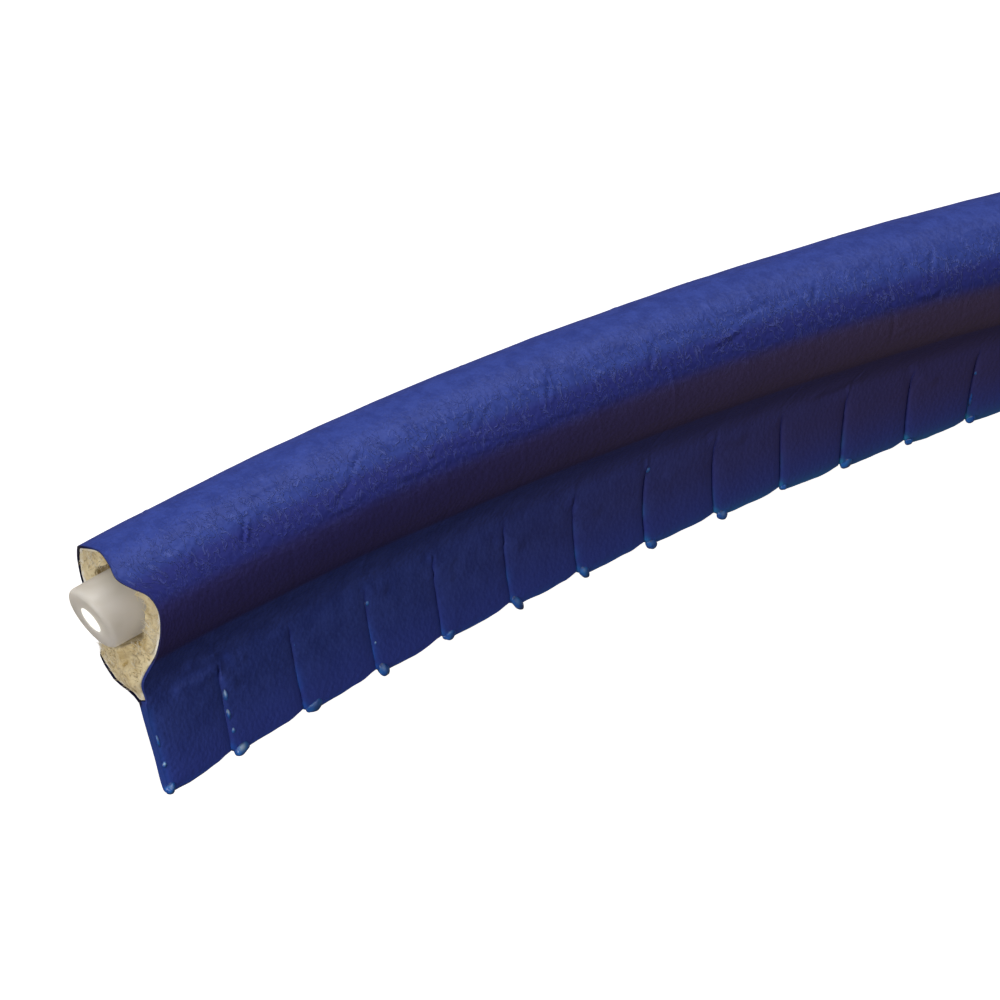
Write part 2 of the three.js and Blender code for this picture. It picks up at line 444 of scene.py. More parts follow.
def vinyl_material():
    material, wire, shader = new_material(
        "blue_leathercloth",
        {"Specular IOR Level": 0.1},
    )
    straight = kept(wire, "straight")
    melted, hollow, wrinkle = kept(wire, "finish_and_painted_light").parts()
    painted_slit_shade, inside, painted_cut_shade = kept(wire, "shade").parts()
    inward = 0 - straight.parts()[0]
    low = inward.ramp(8.5, 14)
    mottle = straight.noise(0.9, 3)
    fine = straight.noise(5, 3)
    far = straight.parts()[2].ramp(15, 75)
    tone = (0.6 * mottle + 0.4 * fine).ramp(0.35, 0.65)
    colour = tone.mix(rgba(44, 60, 134), rgba(54, 72, 152))
    # Painted shade: towards the far end, the cloth from the bead's lower side onwards turns duller and redder
    colour = (far * inward.ramp(2.4, 4)).mix(colour, rgba(64, 62, 120))
    # Painted light: the flange is lighter towards its edge, away from the bead's shade
    colour = low.mix(colour, rgba(54, 71, 164))
    # Painted shade in the hollow between bead and flange: a dark blue first, then a dark brownish blue that
    # turns redder towards the far end
    painted_deep_shade = far.mix(rgba(50, 48, 106), rgba(76, 66, 104))
    painted_dusk_shade = inward.ramp(1.5, 2.5).mix(rgba(43, 51, 128), painted_deep_shade)
    colour = hollow.ramp(0.1, 0.4).mix(colour, painted_dusk_shade)
    colour = hollow.ramp(0.7, 1).mix(colour, painted_deep_shade)
    melt_colour = far.mix(rgba(44, 98, 200), rgba(52, 140, 196))
    colour = (melted * (0.75 + 0.25 * far)).mix(colour, melt_colour)
    # Painted shade: the walls of the slits are darker
    colour = painted_slit_shade.mix(colour, rgba(32, 38, 112))
    # Painted shade: the cloth's inside, seen along its thin cut edge, is dark
    colour = inside.mix(colour, rgba(40, 42, 70))
    # Painted shade: the near cut faces are dark
    colour = painted_cut_shade.mix(colour, rgba(16, 20, 54))
    feed(shader, "Roughness", 0.46 + 0.1 * (fine - 0.5) + 0.1 * (mottle - 0.5) - 0.12 * melted)
    cells = straight.node(
        "ShaderNodeTexVoronoi",
        {"feature": "SMOOTH_F1"},
        {"Vector": straight, "Scale": 2.8, "Smoothness": 0.7, "Randomness": 1},
    )
    across = straight.scaled(0.8, 0.8, 1.5).noise(1.1, 3, 1)
    lines = wrinkle * (1 - abs(across - 0.5).ramp(0.0, 0.04))
    # Painted highlight: the fine wrinkle lines are lighter blue; they are also raised in the bump below
    colour = (0.28 * lines).mix(colour, rgba(104, 118, 190))
    feed(shader, "Base Color", colour)
    height = 0.04 * cells + 0.02 * fine + 0.045 * lines
    feed(shader, "Normal", wire.bump(height))
    return material


def knit_material(name, relief):
    material, wire, shader = new_material(
        name,
        {"Specular IOR Level": 0.15, "Sheen Weight": 0.3, "Sheen Roughness": 0.5},
    )
    straight = kept(wire, "straight")
    depth = kept(wire, "finish_and_painted_light").parts()[0]
    mottle = straight.noise(1.6, 4, 0.4)
    blotch = straight.noise(0.75, 2, 0.5)
    shade = depth + 0.9 * (mottle - 0.5) + 0.9 * (blotch - 0.5)
    # Deeper places turn cream and then ochre: painted shade in the recesses, mixed with real mottled tone
    colour = shade.ramp(0.15, 0.5).mix(rgba(250, 247, 236), rgba(232, 217, 176))
    colour = shade.ramp(0.6, 1.15).mix(colour, rgba(176, 148, 80))
    feed(shader, "Base Color", colour)
    feed(shader, "Roughness", 0.9 + 0.1 * mottle)
    feed(shader, "Normal", wire.bump(relief * mottle + 0.25 * relief * straight.noise(6, 3)))
    return material


def tube_material():
    material, wire, shader = new_material(
        "milky_tube",
        {
            "Specular IOR Level": 0.45,
            "Subsurface Weight": 1,
            "Subsurface Radius": (1, 0.95, 0.88),
            "Subsurface Scale": 3 * MM,
            "Emission Strength": 1,
        },
    )
    straight = kept(wire, "straight")
    painted_bore_glow = kept(wire, "finish_and_painted_light").parts()[0]
    cloud = straight.noise(0.5, 2)
    colour = cloud.ramp(0.3, 0.7).mix(rgba(170, 167, 159), rgba(178, 175, 170))
    feed(shader, "Base Color", colour)
    feed(shader, "Roughness", 0.38 + 0.08 * cloud)
    # Painted glow: the bore glows near white and the whole tube glows a little, which flattens its shade
    feed(shader, "Emission Color", painted_bore_glow.mix((0.13, 0.125, 0.118, 1), (1, 1, 0.97, 1)))
    feed(shader, "Normal", wire.bump(0.01 * straight.noise(3, 2)))
    return material


def melt_material():
    material, wire, shader = new_material(
        "melted_vinyl",
        {"Specular IOR Level": 0.6, "Subsurface Weight": 0.15, "Subsurface Scale": 0.3 * MM},
    )
    straight = kept(wire, "straight")
    painted_highlight, low, _ = kept(wire, "finish_and_painted_light").parts()
    border = kept(wire, "shade").parts()[0]
    swirl = straight.noise(2.2, 3)
    colour = swirl.ramp(0.35, 0.65).mix(rgba(20, 84, 178), rgba(34, 114, 206))
    # Painted shade: a darker teal on each bead's lower side
    colour = low.ramp(0.0, 0.9).mix(colour, rgba(12, 66, 128))
    # Painted highlight: a pale patch on each bead's upper side
    colour = painted_highlight.mix(colour, rgba(185, 222, 250))
    colour = border.ramp(0.45, 1.0).mix(colour, rgba(26, 40, 104))
    feed(shader, "Base Color", colour)
    feed(shader, "Roughness", 0.22 + 0.15 * swirl)
    feed(shader, "Normal", wire.bump(0.02 * straight.noise(5, 2)))
    return material


def floor_material():
    material, wire, shader = new_material(
        "pale_floor",
        {
            "Roughness": 0.9,
            "Specular IOR Level": 0,
            "Emission Color": (1, 1, 1, 1),
            "Emission Strength": 0.95,
        },
    )
    place = wire.node("ShaderNodeTexCoord", output="Object")
    grain = place.noise(30, 2)
    feed(shader, "Base Color", grain.mix((0.84, 0.84, 0.84, 1), (0.86, 0.86, 0.86, 1)))
    return material


# The cover
ARC_LENGTH = math.radians(WRAP_HALF_ANGLE) * BEAD_RADIUS
ROOT_SLOPE = 1.25  # mm of cloth to each mm of u, past the arc's end


def wrap_distance(u, n):
    """How far along the cloth a point lies from the line along the bead at 0 degrees."""
    on_arc = np.abs(np.radians(around_of(u, n))) * BEAD_RADIUS
    arc_end = BEAD_RADIUS * math.cos(math.radians(WRAP_HALF_ANGLE))
    beyond = ARC_LENGTH + (arc_end - u) * ROOT_SLOPE
    return np.sign(n) * np.where(u > arc_end, on_arc, beyond)


# Creases on the bead: width in mm, depth in mm (a ridge where it is below 0) and path.
# The path's points: mm along the bead and degrees round it.
CREASES = [
    (0.30, 0.10, ((3.9, 52), (5.5, 52), (7.2, 43), (8.4, 44), (11.0, 45))),
    (0.28, 0.08, ((11.0, 45), (13.2, 43), (15.7, 40))),
    (0.20, -0.10, ((6.5, 55), (6.0, 60), (5.4, 66))),
    (0.20, -0.06, ((4.4, 61), (4.9, 58), (5.3, 55))),
    (0.22, -0.10, ((10.7, 57), (10.3, 64), (9.9, 71))),
    (0.20, 0.09, ((10.6, 52), (10.1, 63), (9.5, 74))),
    (0.20, -0.07, ((11.5, 52), (11.1, 61), (10.6, 69))),
    (0.20, -0.06, ((12.7, 51), (12.5, 55), (12.2, 58))),
    (0.30, -0.05, ((4.4, 91), (6.0, 92), (7.6, 85), (9.7, 88))),
    (0.22, -0.06, ((8.6, 32), (9.7, 35), (10.5, 37))),
    (0.22, -0.06, ((11.8, 39), (12.8, 38), (13.7, 38))),
    (0.20, -0.09, ((10.6, 60), (10.3, 64), (9.8, 71))),
    (0.20, 0.06, ((16.2, 49), (16.0, 58), (16.0, 69))),
    (0.20, -0.06, ((16.5, 49), (17.2, 51), (17.8, 54))),
    (0.22, 0.08, ((18.8, 59), (17.7, 70), (16.9, 75))),
    (0.24, 0.09, ((19.9, 46), (19.4, 53), (18.8, 56))),
    (0.22, -0.10, ((19.8, 51), (19.3, 58), (18.9, 65))),
    (0.24, -0.09, ((20.6, 36), (20.7, 46), (21.6, 58))),
    (0.24, -0.09, ((16.2, 81), (17.8, 81), (19.3, 75), (20.3, 74))),
    (0.20, -0.05, ((15.6, 72), (15.8, 75), (16.1, 78))),
    (0.26, -0.10, ((21.4, 75), (23.2, 79), (25.1, 66), (26.1, 65), (28.0, 70), (31.5, 78))),
    (0.24, 0.08, ((24.5, 65), (25.7, 59), (26.8, 59), (28.2, 58))),
    (0.24, -0.08, ((22.1, 77), (24.3, 78), (25.8, 78), (27.4, 78), (29.3, 81), (31.6, 81))),
    (0.20, -0.09, ((24.2, 31), (24.4, 39), (24.4, 52))),
    (0.20, -0.09, ((24.9, 37), (25.0, 46), (25.2, 55))),
    (0.20, 0.07, ((24.0, 39), (24.2, 46), (24.1, 56))),
    (0.20, -0.05, ((28.1, 27), (28.3, 38), (28.4, 52))),
    (0.20, 0.06, ((27.7, 32), (27.8, 42), (28.0, 51))),
    (0.20, 0.08, ((29.4, 43), (28.9, 50), (28.4, 57))),
    (0.22, 0.09, ((30.1, 50), (29.5, 58), (28.9, 65))),
    (0.20, 0.06, ((31.2, 47), (31.0, 52), (30.6, 56))),
    (0.20, -0.08, ((32.1, 36), (32.6, 43), (33.0, 51))),
    (0.20, -0.07, ((32.0, 45), (32.2, 51), (32.5, 56))),
    (0.22, -0.09, ((34.1, 42), (34.4, 52), (34.1, 65))),
    (0.22, 0.10, ((35.4, 40), (35.0, 50), (34.7, 60))),
    (0.22, -0.10, ((35.4, 38), (35.3, 50), (34.7, 62))),
    (0.20, -0.07, ((35.2, 18), (35.4, 28), (35.5, 40))),
    (0.26, -0.09, ((32.1, 82), (33.6, 79), (34.7, 76), (36.3, 77))),
    (0.22, -0.08, ((39.0, 33), (39.1, 40), (39.3, 47))),
    (0.20, -0.07, ((40.3, 30), (40.7, 34), (41.1, 40))),
    (0.30, 0.05, ((38.1, 58), (39.5, 50), (40.8, 41), (42.3, 42))),
    (0.30, -0.04, ((38.2, 63), (38.8, 57), (39.6, 54))),
    (0.26, 0.10, ((41.6, 50), (43.3, 49), (44.5, 45), (45.7, 47), (46.6, 46), (48.2, 47))),
    (0.22, -0.09, ((43.8, 57), (43.5, 61), (43.1, 65))),
    (0.20, 0.08, ((43.5, 50), (43.2, 58), (42.9, 66))),
    (0.20, -0.06, ((43.9, 36), (43.9, 40), (43.9, 44))),
    (0.22, -0.08, ((45.6, 27), (45.7, 33), (45.8, 41))),
    (0.20, -0.06, ((49.2, 19), (49.3, 30), (49.5, 42))),
    (0.24, 0.10, ((47.3, 58), (48.4, 55), (49.7, 56), (51.0, 49), (51.9, 44))),
    (0.24, 0.10, ((51.5, 47), (52.8, 44), (53.8, 43))),
    (0.24, -0.09, ((48.5, 63), (49.8, 60), (51.0, 55))),
    (0.20, -0.07, ((52.8, 18), (52.6, 30), (53.0, 38))),
    (0.20, -0.06, ((49.2, 24), (49.2, 38), (49.0, 48))),
    (0.22, -0.08, ((58.3, 38), (58.0, 45), (57.5, 53))),
    (0.20, 0.07, ((58.0, 37), (57.6, 44), (57.2, 50))),
    (0.26, -0.06, ((53.7, 98), (55.7, 101), (57.8, 100))),
    (0.20, -0.07, ((59.5, 25), (59.8, 28), (60.2, 32))),
    (0.22, 0.08, ((53.8, 49), (54.6, 46), (55.3, 44), (56.2, 43))),
    (0.24, -0.08, ((60.2, 70), (61.3, 61), (62.3, 56), (63.3, 57))),
    (0.24, 0.08, ((61.2, 31), (61.7, 41), (62.1, 47))),
    (0.22, -0.06, ((64.5, 50), (65.0, 44), (65.7, 37))),
    (0.22, -0.08, ((68.6, 34), (68.3, 43), (67.9, 50))),
    (0.22, 0.07, ((67.9, 40), (67.4, 52), (67.0, 64))),
    (0.30, -0.08, ((66.0, 72), (66.9, 74), (67.4, 72))),
    (0.30, -0.07, ((69.8, 107), (71.6, 103), (73.3, 98))),
    (0.30, -0.05, ((64.2, 101), (65.3, 98), (66.6, 100))),
]

# Puckers beside the slits, in the same way, but each point is mm along the bead and u in the flange
PUCKERS = [
    (0.45, -0.09, ((6.3, -7.1), (4.7, -7.3), (2.9, -7.2))),
    (0.4, -0.07, ((5.8, -6.5), (5.0, -6.4), (4.2, -6.1))),
    (0.35, -0.1, ((6.5, -7.8), (7.0, -8.4), (7.5, -8.8))),
    (0.35, -0.08, ((7.5, -6.8), (7.9, -7.2), (8.5, -7.3))),
    (0.35, -0.08, ((19.5, -7.1), (19.9, -7.5), (20.7, -7.6))),
    (0.35, -0.08, ((25.3, -7.1), (25.8, -7.7), (26.9, -8.0))),
    (0.35, -0.06, ((25.0, -8.3), (25.9, -8.5), (26.8, -9.0))),
    (0.35, -0.08, ((31.3, -8.2), (32.1, -8.5), (33.1, -9.0))),
    (0.4, -0.07, ((37.9, -7.6), (38.8, -8.3), (40.0, -9.0))),
    (0.5, 0.07, ((44.4, -7.0), (45.2, -7.9), (46.1, -8.3))),
    (0.5, -0.07, ((50.8, -6.9), (51.9, -7.6), (53.0, -7.7))),
    (0.5, 0.06, ((63.5, -6.6), (62.3, -6.9), (61.0, -6.8))),
    (0.45, -0.07, ((70.0, -7.1), (70.9, -7.9), (71.9, -8.4))),
    (0.45, -0.08, ((82.5, -7.0), (83.4, -7.6), (84.6, -7.9))),
    (0.45, -0.07, ((95.3, -7.0), (94.2, -7.3), (92.8, -7.2))),
]

# Factors on the rows' depths and widths. A crease is long from LONG_CREASE mm.
PUCKER_DEPTH = 1.7
CREASE_WIDTH = 0.65
LONG_CREASE = 3
LONG_CREASE_DEPTH = 0.4

# Past the last of them, the bead repeats the creases that start between the first two places.
# Its back repeats those that start past BACK_FROM.
REPEATED_FROM = 20
REPEATED_TO = 46
REPEATED_SHIFT = 54
BACK_FROM = 30
BACK_SHIFT = -20


def distance_to(path, s, wrap):
    """Signed distance of each point from a path of (s, wrap) points."""
    best = np.full_like(s, 99)
    for (s0, w0), (s1, w1) in zip(path, path[1:]):
        run_s, run_w = s1 - s0, w1 - w0
        length = math.hypot(run_s, run_w)
        t = np.clip(((s - s0) * run_s + (wrap - w0) * run_w) / length ** 2, 0, 1)
        off_s, off_w = s - s0 - t * run_s, wrap - w0 - t * run_w
        off = np.hypot(off_s, off_w) * np.sign(run_s * off_w - run_w * off_s + 1e-9)
        best = np.where(np.abs(off) < np.abs(best), off, best)
    return best


def crease_rows():
    """Every crease as width, depth and path in mm, with those that the unseen places repeat."""
    rows = []
    for width, depth, path in CREASES:
        path = [(s, math.radians(around) * BEAD_RADIUS) for s, around in path]
        share = LONG_CREASE_DEPTH if math.dist(path[0], path[-1]) > LONG_CREASE else 1
        rows.append((CREASE_WIDTH * width, share * depth, path))
    for width, depth, path in rows[:]:
        start = path[0][0]
        if REPEATED_FROM < start < REPEATED_TO:
            rows.append((width, depth, [(s + REPEATED_SHIFT, wrap * 0.93) for s, wrap in path]))
        if start > BACK_FROM:
            rows.append((width, depth, [(s + BACK_SHIFT, -3 - 1.1 * wrap) for s, wrap in path]))
    for width, depth, path in PUCKERS:
        front = np.array(FLANGE_HALF)
        path = [(s, float(wrap_distance(np.array(u), front))) for s, u in path]
        rows.append((width, PUCKER_DEPTH * depth, path))
    return rows


def crease_heights(s, wrap):
    heights = np.zeros_like(s)
    for width, depth, path in crease_rows():
        low = min(point[0] for point in path) - 2
        high = max(point[0] for point in path) + 2
        near = (s > low) & (s < high)
        off = distance_to(path, s[near], wrap[near]) / width
        heights[near] -= depth * (hump(off, 0, 1) - 0.5 * hump(off, 1.6, 1))
    return heights


# A tab's cut edges, in mm
SLIT_CHAMFER = 0.1
EDGE_BOW = 0.09
EDGE_RAG = 0.07
EDGE_ROUND = 0.14
FAR_CORNER = 0.1
NEAR_CORNER = 0.4
FIRST_CORNER = 0.15

# How much of its thickness a tab loses beside a slit and at the flange's edge
SIDE_PINCH = 0.32
EDGE_PINCH = 0.25


def cover_shape(mesh, points):
    normals = mesh_normals(mesh)
    u, n, s = points.T
    radius = np.hypot(u, n)
    is_tab = u < -SLIT_TOP - CLOSE
    tab = tab_at(s)
    outer = is_tab | (radius > BEAD_RADIUS - VINYL / 2)

    # Slits open into a narrow V. Down: 0 at their tops, 1 at the flange's edge. Side: -1 to 1 across a tab
    down = np.clip((-SLIT_TOP - u) / (FLANGE_EDGE - SLIT_TOP), 0, 1)
    side = 2 * (s / PITCH - tab) - 1
    beside_slit = np.where(side < 0, tab > 0, tab < TAB_COUNT - 1)
    widen = (SLIT_HALF_EDGE - SLIT_HALF_TOP) * down * beside_slit
    corner = (np.abs(n) / FLANGE_HALF) ** 4
    from_side = np.abs(PITCH / 2 - np.abs(s - (tab + 0.5) * PITCH) - SLIT_HALF_TOP)
    at_side = from_side < CLOSE
    chamfer = SLIT_CHAMFER * ease(down / 0.3) * np.sign(side) * corner
    shift = -side * widen - np.where(at_side, chamfer, 0)
    points[:, 2] += np.where(is_tab, shift, 0)

    # A tab's edge bows out, is cut off at its corners, is a little ragged and is pinched thin
    edge = u < -FLANGE_EDGE + CLOSE
    rag = noise_values(np.stack((tab * 3, 0 * s, s), 1), (1, 1, 0.8), 4)
    drop = TAB_SLANT * side - EDGE_BOW * (1 - side ** 2)
    drop += FAR_CORNER * ease((side - 0.55) / 0.3)
    drop += EDGE_RAG * rag
    drop += np.where(tab > 0, NEAR_CORNER, FIRST_CORNER) * ease((-side - 0.75) / 0.25)
    points[:, 0] += np.where(is_tab, down ** 2 * drop, 0)
    points[:, 0] += np.where(edge, EDGE_ROUND * corner, 0)
    pinch = SIDE_PINCH * np.exp(-from_side / 0.45) * ease(down / 0.2)
    pinch += EDGE_PINCH * np.exp(-np.abs(FLANGE_EDGE + u) / 0.4)
    points[:, 1] -= np.where(is_tab, pinch * n, 0)

    # What the material needs: melt along the cut edges, painted shade in the hollow, in the slits, on the
    # cloth's inside and on the cut faces, and fine wrinkles with painted highlights
    patches = noise_values(np.stack((u, tab * 5, 0 * s), 1), (0.7, 1, 1), 8)
    far = ease((s - 20) / 45)
    on_edge = np.exp(-np.abs(FLANGE_EDGE + u) / (0.12 + 0.3 * far)) * (0.7 + 0.3 * patches)
    on_corner = ease((down - 0.86) / 0.08) * ease(1.5 - (s - tab * PITCH) / 0.5)
    on_edge = np.maximum(on_edge, on_corner)
    reach = np.where(tab == 0, 0.3, 0.2)
    on_side = np.exp(-from_side / reach) * np.where(side < 0, 1, 0.25) * (1 - 0.7 * far)
    on_side *= np.where(tab == 0, 0.5, ease((down - 0.2) / 0.6) * ease(patches * 1.5 + 0.3))
    around = around_of(u, n)
    melted = np.where(is_tab, np.maximum(on_edge, on_side), 0)
    # Painted shade: how strongly the cloth's colour is darkened in the hollow between bead and flange
    hollow = ease((around - 41 + 6 * far) / 60) * (1 - 0.9 * ease((around - 120) / 30))
    hollow = np.where(is_tab, 0, hollow)
    # Painted shade in the slits, fainter on the tabs' top faces and where melt lies
    painted_slit_shade = np.where(is_tab & at_side & (tab + side > 0), (1 - melted) * (1 - 0.6 * corner), 0)
    wrinkle = hump(around, 55, 28) * np.where(outer & ~is_tab, 1, 0)
    # Painted shade on the near cut face: full below the bead's middle, weaker above it and on the tabs
    near_cut = np.where(is_tab, 0.35, 1 - 0.85 * ease((around + 5) / 20))
    painted_cut_shade = np.where(s < CLOSE, near_cut, 0)
    keep_values(mesh, "finish_and_painted_light", np.stack((melted, hollow, wrinkle), 1))
    keep_values(mesh, "shade", np.stack((painted_slit_shade, np.where(outer, 0, 1), painted_cut_shade), 1))

    # The cloth lies unevenly, with creases
    swell = 0.08 * noise_values(points, (0.25, 0.25, 0.11), 1)
    swell += 0.03 * noise_values(points, (0.6, 0.6, 0.4), 2)
    lift = swell * (1 - down) + 0.05 * down * noise_values(points, (0.35, 0.35, 0.35), 3)
    lift += crease_heights(s, wrap_distance(u, n))
    points += normals * np.where(outer & ~at_side, lift, 0)[:, None]
    cut_near_end(points, mouth_cut(u, n))
    return bent(points, tab)


TAB_COLUMNS = 34
COVER_INSIDE_LEVELS = 61
FLANGE_STEPS = 18


def starts_tab(face):
    """Whether a face of the straight cover is at the root and not between two tabs."""
    at_root = all(vert.co.x < -SLIT_TOP + CLOSE for vert in face.verts)
    s = face.calc_center_median().z
    off_slit = abs((s / PITCH + 0.5) % 1 - 0.5) * PITCH > SLIT_HALF_TOP
    at_end = not PITCH / 2 < s < LENGTH - PITCH / 2
    return at_root and (off_slit or at_end)


def make_cover():
    outside = [ring(COVER_OUTSIDE, s) for s in tab_levels(TAB_COLUMNS)]
    inside = [ring(COVER_INSIDE, s) for s in np.linspace(0, LENGTH, COVER_INSIDE_LEVELS)]
    bm = ring_surface(outside[::-1] + inside)
    root = [face for face in bm.faces if starts_tab(face)]
    for step in range(1, FLANGE_STEPS + 1):
        made = bmesh.ops.extrude_face_region(bm, geom=root)
        bmesh.ops.delete(bm, geom=root, context="FACES")
        root = [item for item in made["geom"] if isinstance(item, bmesh.types.BMFace)]
        place = -SLIT_TOP - (FLANGE_EDGE - SLIT_TOP) * step / FLANGE_STEPS
        for vert in {vert for face in root for vert in face.verts}:
            vert.co.x = place
    bmesh.ops.recalc_face_normals(bm, faces=bm.faces)
    return finish_piece("leathercloth_cover", bm, cover_shape, vinyl_material())


# The knit on the cloth's inside
KNIT_INSIDE = [
    {"around": -180, "radius": 2.6},
    {"around": -150, "radius": 2.5},
    {"around": -90, "radius": 2.7},
    {"around": -30, "radius": 2.9},
    {"around": 0, "radius": 2.9},
    {"around": 14, "radius": 3.1},
    {"around": 28, "radius": 3.1},
    {"around": 40, "radius": 2.6},
    {"around": 58, "radius": 2.5},
    {"around": 70, "radius": 2.46},
    {"around": 100, "radius": 2.46},
    {"around": 120, "radius": 2.6},
    {"around": 140, "radius": 2.95},
    {"around": 160, "radius": 2.7},
    {"around": 180, "radius": 2.6},
]
KNIT_RADIUS = BEAD_RADIUS - VINYL - 0.05
KNIT_OUTSIDE = wrap_outline(KNIT_RADIUS, (-5.45, 0.36), (-5.3, -1.6), (-6.7, 0.32))
KNIT_FACE_STEPS = 16
KNIT_RECESS_DEPTH = 5

# How far the knit's end lies behind the cloth's: next to the core and next to the cloth
KNIT_SUNK = [
    (-180, 0.1, 0.1),
    (-60, 0.2, 0.1),
    (-20, 0.5, 0.1),
    (4, 1.0, 0.1),
    (16, 1.8, 0.15),
    (26, 2.5, 0.5),
    (36, 2.8, 1.6),
    (56, 2.8, 1.8),
    (63, 1.6, 0.9),
    (70, 0.4, 0.2),
    (95, 0.25, 0.1),
    (130, 0.3, 0.1),
    (155, 0.2, 0.1),
    (180, 0.1, 0.1),
]


def knit_sunk(around, rim):
    angles, inner, outer = np.array(KNIT_SUNK).T
    return np.interp(around, angles, inner) * (1 - rim) + np.interp(around, angles, outer) * rim


def rim_share(u, n):
    """1 where the knit meets the cloth, 0 from 0.65 mm inside it."""
    gaps = np.hypot(u[:, None] - KNIT_OUTSIDE[:, 0], n[:, None] - KNIT_OUTSIDE[:, 1])
    return 1 - ease((gaps.min(axis=1) - 0.1) / 0.55)


def knit_shape(mesh, points):
    u, n, s = points.T.copy()
    around = around_of(u, n)
    radius = np.hypot(u, n)
    fuzz = noise_values(points, (1.5, 1.5, 1.5), 5)
    fine = noise_values(points, (4, 4, 4), 6)
    near = s < CLOSE
    recess = np.clip(1 - s / KNIT_RECESS_DEPTH, 0, 1)
    rim = rim_share(u, n)
    crescent = hump(around, 138, 22) * hump(radius, 2.75, 0.42)
    pocket = hump(around, 14, 12) * hump(radius, 3.1, 0.4)
    root = 0.15 * ease((-u - 2.6) / 1.5)
    # How deep each place sits, for the painted shade in the colour: lighter at the rim, darker in the
    # crescent under the core, in the pocket and towards the root
    depth = 0.62 - 0.42 * rim + 0.6 * crescent + 0.6 * pocket + root
    far = s > LENGTH - CLOSE
    depth = np.where(near, depth, np.where(far, 0.45, 0.85))
    keep_values(mesh, "finish_and_painted_light", np.stack((depth, depth, depth), 1))
    dip = knit_sunk(around, rim) + 0.1 * crescent
    lumps = 0.22 * fuzz + 0.1 * fine
    points[:, 2] += (dip + lumps * (0.3 + 0.7 * (1 - rim))) * recess - np.where(far, np.abs(lumps), 0)
    bulge = np.where(radius < KNIT_RADIUS - 0.1, 0.06 * np.abs(fine), 0)
    points[:, 0] += bulge * u / radius
    points[:, 1] += bulge * n / radius
    cut_near_end(points, mouth_cut(u, n))
    return bent(points)


def make_knit():
    angles = np.arctan2(KNIT_OUTSIDE[:, 1], KNIT_OUTSIDE[:, 0])
    radii = smooth_curve(KNIT_INSIDE, np.degrees(angles))
    knit_inside = np.column_stack((radii * np.cos(angles), radii * np.sin(angles)))
    levels = np.append(np.linspace(0, KNIT_RECESS_DEPTH, 15), np.linspace(6.5, LENGTH, 50))
    outside = [ring(KNIT_OUTSIDE, s) for s in levels]
    inside = [ring(knit_inside, s) for s in levels]
    shares = np.linspace(0, 1, KNIT_FACE_STEPS + 1)[1:-1]
    near_face = [outside[0] * (1 - share) + inside[0] * share for share in shares]
    far_face = [outside[-1] * share + inside[-1] * (1 - share) for share in shares]
    bm = ring_surface(outside[::-1] + near_face + inside + far_face)
    return finish_piece("knit_lining", bm, knit_shape, knit_material("cream_knit", 0.2), 80)


FIBRE_COUNT = 1300
FIBRE_RINGS = 6
FIBRE_LENGTHS = (0.2, 0.65)
FIBRE_RADII = (0.016, 0.03)


def fibre_template():
    """A three-sided strand, one ring of points to each millimetre of z."""
    bm = bmesh.new()
    bmesh.ops.create_circle(bm, cap_ends=True, segments=3, radius=1)
    end = bm.faces[:]
    for step in range(1, FIBRE_RINGS):
        made = bmesh.ops.extrude_face_region(bm, geom=end)
        if step > 1:
            bmesh.ops.delete(bm, geom=end, context="FACES")
        end = [item for item in made["geom"] if isinstance(item, bmesh.types.BMFace)]
        for vert in end[0].verts:
            vert.co.z = step
    bmesh.ops.recalc_face_normals(bm, faces=bm.faces)
    mesh = bpy.data.meshes.new("strand")
    bm.to_mesh(mesh)
    bm.free()
    return mesh


def fibre_foot(rng, outline_angles, outline_radii):
    """A place on the knit's near face."""
    spans = ((-60, 15), (68, 150), (100, 180), (-180, -110))
    around = np.array([rng.uniform(*rng.choice(spans))])
    outer = np.interp(around, outline_angles, outline_radii)
    inner = smooth_curve(KNIT_INSIDE, around)
    radius = outer - 0.15 - (outer - inner - 0.2) * rng.uniform(0, 1)
    u = radius * np.cos(np.radians(around))
    n = radius * np.sin(np.radians(around))
    sunk = knit_sunk(around, rim_share(u, n))
    return Vector((u[0], n[0], mouth_cut(u, n)[0] + sunk[0]))


def make_fibres():
    """Loose fibres that stand out from the knit's cut end."""
    rng = random.Random(7)
    outline_angles = around_of(*KNIT_OUTSIDE.T)
    order = np.argsort(outline_angles)
    outline_radii = np.hypot(*KNIT_OUTSIDE.T)[order]
    outline_angles = outline_angles[order]
    template = fibre_template()
    bm = bmesh.new()
    for i in range(FIBRE_COUNT):
        foot = fibre_foot(rng, outline_angles, outline_radii)
        length = rng.uniform(*FIBRE_LENGTHS)
        thick = rng.uniform(*FIBRE_RADII)
        way = Vector((rng.uniform(-1, 1), rng.uniform(-1, 1), rng.uniform(-0.45, 0.0)))
        way = way.normalized() * length
        curl = Vector((rng.uniform(-1, 1), rng.uniform(-1, 1), rng.uniform(-0.4, 0.6)))
        curl = curl * 0.4 * length
        if (foot + way + curl).xy.length > foot.xy.length + 0.1:
            way.xy = -way.xy
            curl.xy = -curl.xy
        side = way.orthogonal().normalized()
        other = way.normalized().cross(side)
        bm.verts.ensure_lookup_table()
        start = len(bm.verts)
        bm.from_mesh(template)
        bm.verts.ensure_lookup_table()
        for vert in bm.verts[start:]:
            t = vert.co.z / (FIBRE_RINGS - 1)
            middle = foot + way * t + curl * t * t
            vert.co = middle + (side * vert.co.x + other * vert.co.y) * thick * (1 - 0.6 * t)

    def shape(mesh, points):
        keep_values(mesh, "finish_and_painted_light", np.full((len(points), 3), 0.4))
        return bent(points)

    return finish_piece("knit_fibres", bm, shape, knit_material("loose_fibres", 0.005), 180)


